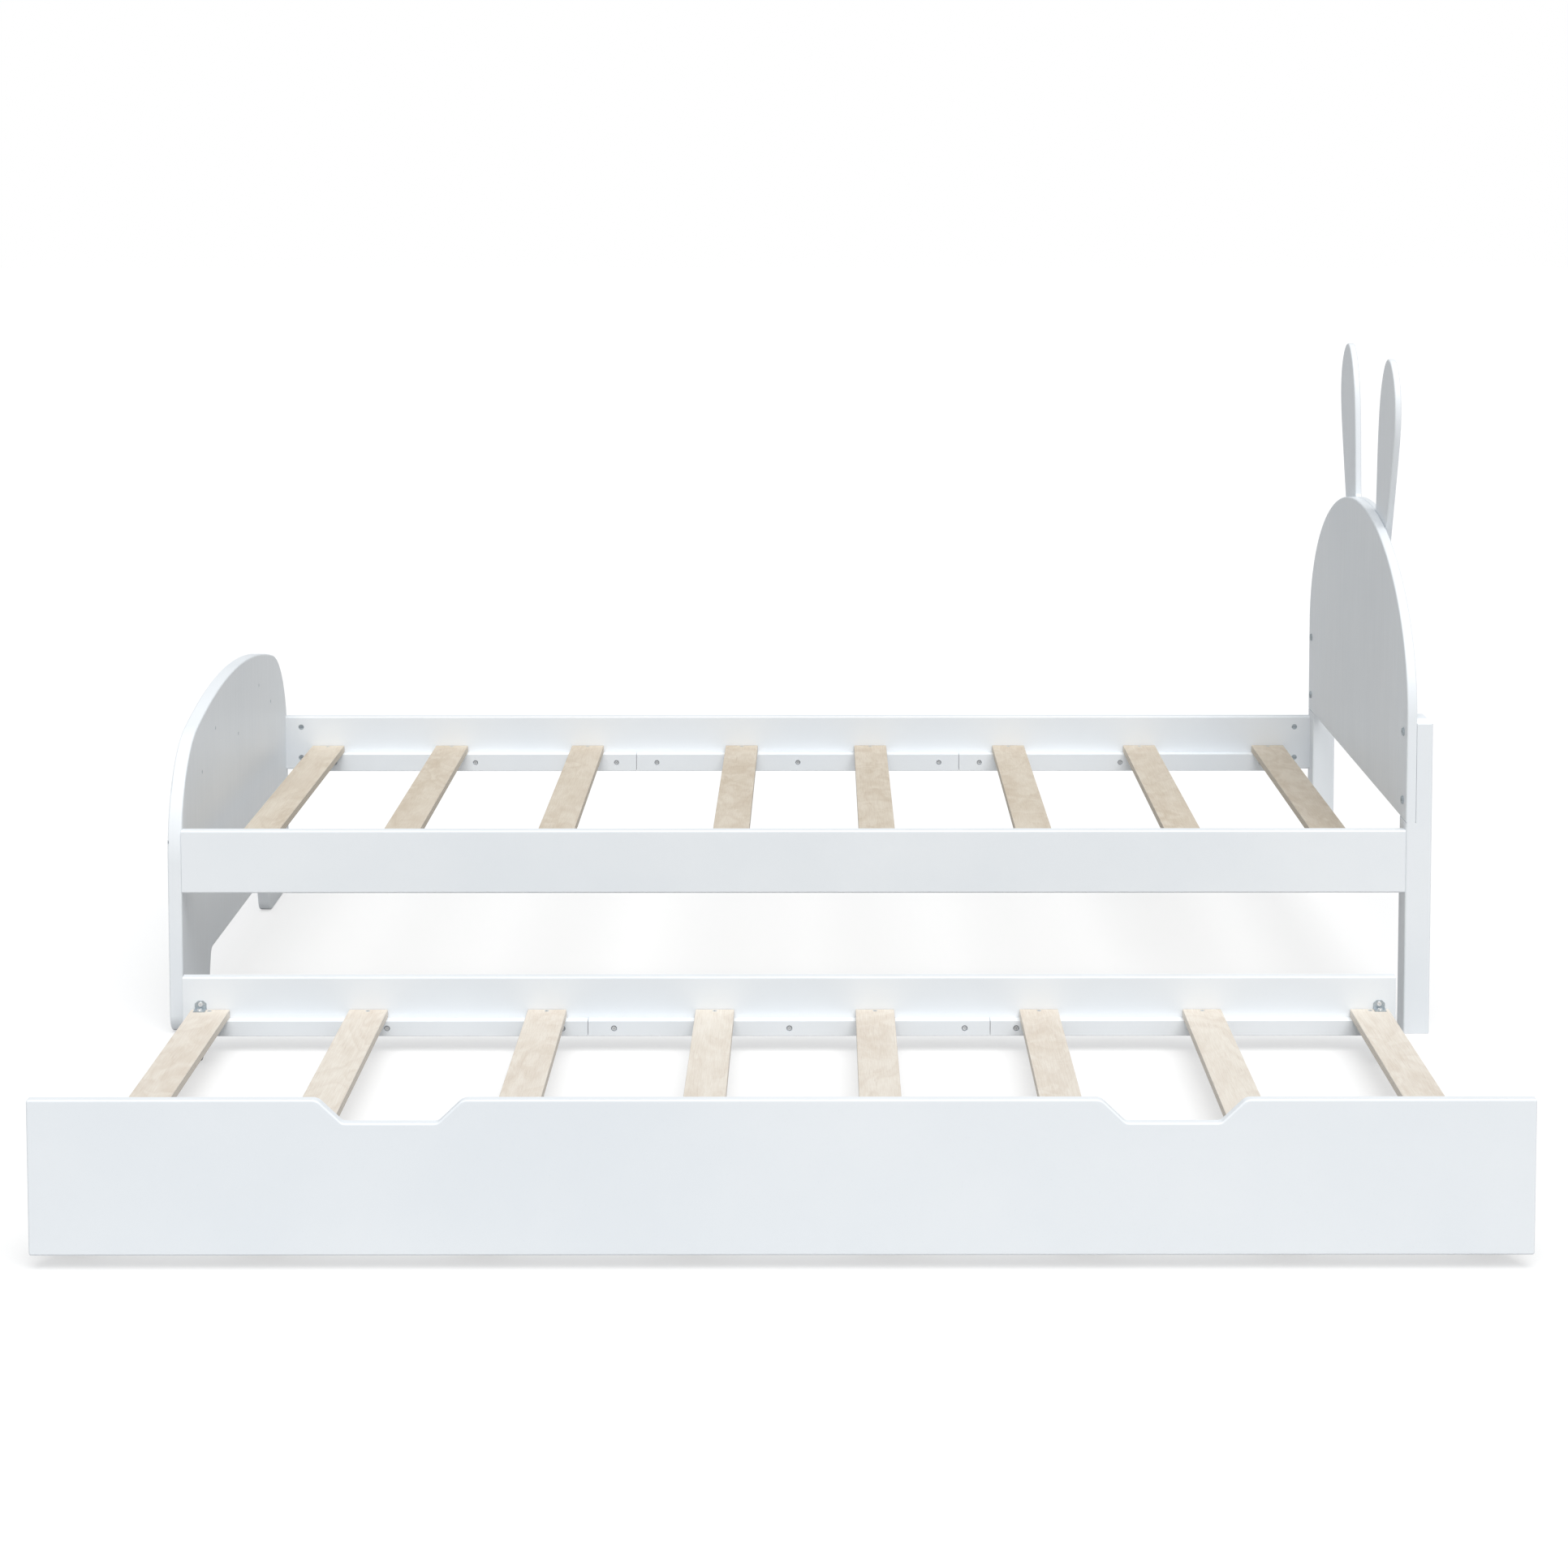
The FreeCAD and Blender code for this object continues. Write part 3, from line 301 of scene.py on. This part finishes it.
def beech():
    """Turned beech: warm, with short flecks along the dowel."""
    material, tree, shader = new_material("beech")
    flecks = noise(tree, stretched(tree, (0.08, 1, 1)), scale=900, detail=3.0, roughness=0.6)
    tone = ramp(tree, flecks, (0.35, linear(196, 156, 112)), (0.65, linear(222, 188, 146)))
    coloured(tree, shader, tone, ramp(tree, flecks, (0.3, 0.68), (0.7, 0.54)))
    bumped(tree, shader, flecks, strength=0.2, distance=0.0003)
    return material


def caster_plastic():
    """Moulded grey-black wheel: pebbled, with pale dust on its edges."""
    material, tree, shader = new_material("caster_plastic")
    place = stretched(tree)
    grit = noise(tree, place, scale=160, detail=5.0, roughness=0.7)
    tone = ramp(tree, grit, (0.35, (0.028, 0.029, 0.031)), (0.7, (0.055, 0.056, 0.06)))
    dust = times(tree, edge_mask(tree, radius=0.0015), 0.35)
    rough = ramp(tree, grit, (0.3, 0.42), (0.7, 0.62))
    coloured(tree, shader, mixed(tree, dust, tone, (0.24, 0.23, 0.22)), rough)
    pebble = noise(tree, place, scale=1400, detail=2.0)
    bumped(tree, shader, pebble, strength=0.2, distance=0.0002)
    return material


# ---------------------------------------------------------------- a material for every node

def dress(names, material):
    """Put one material in every slot of each named node."""
    for name in names:
        slots = frame["nodes"][name].data.materials
        if not slots:
            slots.append(material)
        for index in range(len(slots)):
            slots[index] = material


def dress_slats(names):
    """Each slat has its own stretch of veneer, and some a paler tone than the others."""
    tones = {
        "bed": (linear(225, 216, 201), linear(203, 189, 169)),
        "trundle": (linear(238, 232, 222), linear(222, 211, 197)),
    }
    for turn, name in enumerate(sorted(names)):
        light, dark = tones[name.split("_")[0]]
        paler = max(0.12 * math.sin(turn * 2.4), 0.0)
        offset = (turn * 0.37, turn * 1.91, turn * 0.53)
        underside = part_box(name)[0].z
        dress([name], slat_plywood(f"birch_ply_{name}", offset, light,
                                   mid(dark, light, paler), underside))


def dress_all():
    """Give each node the material of its slot in the record, in two kinds for the zinc. The
    darker kind is partly a duller zinc tone and partly painted shade: it darkens the recessed
    screws, bolts and nuts as if they lay in shadow in their holes.
    """
    groups = {}
    for row in frame["record"]["subparts"]:
        groups.setdefault(row["material_slot"], []).append(row["node"])
    bright_screws = ["bed_cleat_screws", "trundle_cleat_screws", "bracket_screws"]
    # Every zinc part but these screws gets a darker copy of the zinc, partly a duller tone and
    # partly painted shade for the recessed fasteners
    dull_and_shaded_zinc_parts = [name for name in groups["zinc"] if name not in bright_screws]
    dress(groups["white_paint"], satin_paint())
    dress(bright_screws, zinc("zinc_bright", (0.90, 0.91, 0.92), (0.74, 0.75, 0.76)))
    dress(dull_and_shaded_zinc_parts, zinc("zinc_dull_painted_shade", (0.60, 0.66, 0.70), (0.40, 0.45, 0.49)))
    dress(groups["beech_dowel"], beech())
    dress(groups["caster_tread"], caster_plastic())
    dress_slats(groups["birch_ply"])


# ---------------------------------------------------------------- floor, light and camera

def pale_floor():
    """A pale floor, so large that its far edge meets the white world.

    The light it sends back is that of a grey floor. The camera sees it as about half a white
    surface and half a white glow, which keeps its shadows faint.
    """
    bpy.ops.mesh.primitive_plane_add(size=FLOOR_SIZE, location=(0, 0, -FLOOR_GAP))
    floor = bpy.context.object
    floor.name = "floor"
    material, tree, shader = new_material("pale_floor")
    tone = ramp(tree, noise(tree, stretched(tree), scale=1.5), (0.3, 0.54), (0.7, 0.57))
    link(tree, tone, shader.inputs["Base Color"])
    shader.inputs["Roughness"].default_value = 0.7
    shader.inputs["Specular IOR Level"].default_value = 0.2
    white = node(tree, "BsdfDiffuse", Color=(1, 1, 1, 1))
    glow = node(tree, "Emission", Color=(1, 1, 1, 1), Strength=1.0)
    pale = node(tree, "MixShader", Fac=0.55)
    link(tree, white.outputs["BSDF"], pale.inputs[1])
    link(tree, glow.outputs["Emission"], pale.inputs[2])
    shown_as(tree, shader.outputs["BSDF"], pale.outputs["Shader"],
             tree.nodes["Material Output"].inputs["Surface"])
    floor.data.materials.append(material)


def studio_light():
    """A room that lights the bed softly and looks plain white, and one broad sun.

    The sun shines from above and in front, and a little from the head of the bed.
    """
    world = bpy.data.worlds.new("studio")
    bpy.context.scene.world = world
    world.use_nodes = True
    tree = world.node_tree
    fill = tree.nodes["Background"]
    fill.inputs["Color"].default_value = (0.93, 0.97, 1, 1)
    fill.inputs["Strength"].default_value = 0.47
    backdrop = node(tree, "Background", Color=(1, 1, 1, 1), Strength=1.0)
    shown_as(tree, fill.outputs["Background"], backdrop.outputs["Background"],
             tree.nodes["World Output"].inputs["Surface"])

    key = bpy.data.lights.new("soft_key", "SUN")
    key.energy = 2.45
    key.angle = math.radians(50)
    key.color = (1, 0.995, 0.985)
    light = bpy.data.objects.new("soft_key", key)
    shines_towards = Vector((-0.1, 0.5, -0.86))
    light.rotation_euler = shines_towards.to_track_quat("-Z", "Y").to_euler()
    bpy.context.collection.objects.link(light)


def photo_camera():
    """The photograph's view: the camera is tilted down a little and shifted for the rest.

    So upright edges stay close to upright in the picture, as in the photograph.
    """
    data = bpy.data.cameras.new("camera")
    data.sensor_width = 36
    data.lens = 75.84
    data.shift_x = -0.0274
    data.shift_y = -0.25
    camera = bpy.data.objects.new("camera", data)
    camera.location = (0.0326, -5.1104, 1.4201)
    pitch = math.radians(4.464)
    yaw = math.radians(-0.117)
    camera.rotation_euler = (math.pi / 2 - pitch, 0, yaw)
    bpy.context.collection.objects.link(camera)
    bpy.context.scene.camera = camera


# ---------------------------------------------------------------- the scene

photo_camera()
dress_all()
pale_floor()
studio_light()

# Colours reach the picture as they are, with no film curve over them
bpy.context.scene.view_settings.view_transform = "Standard"
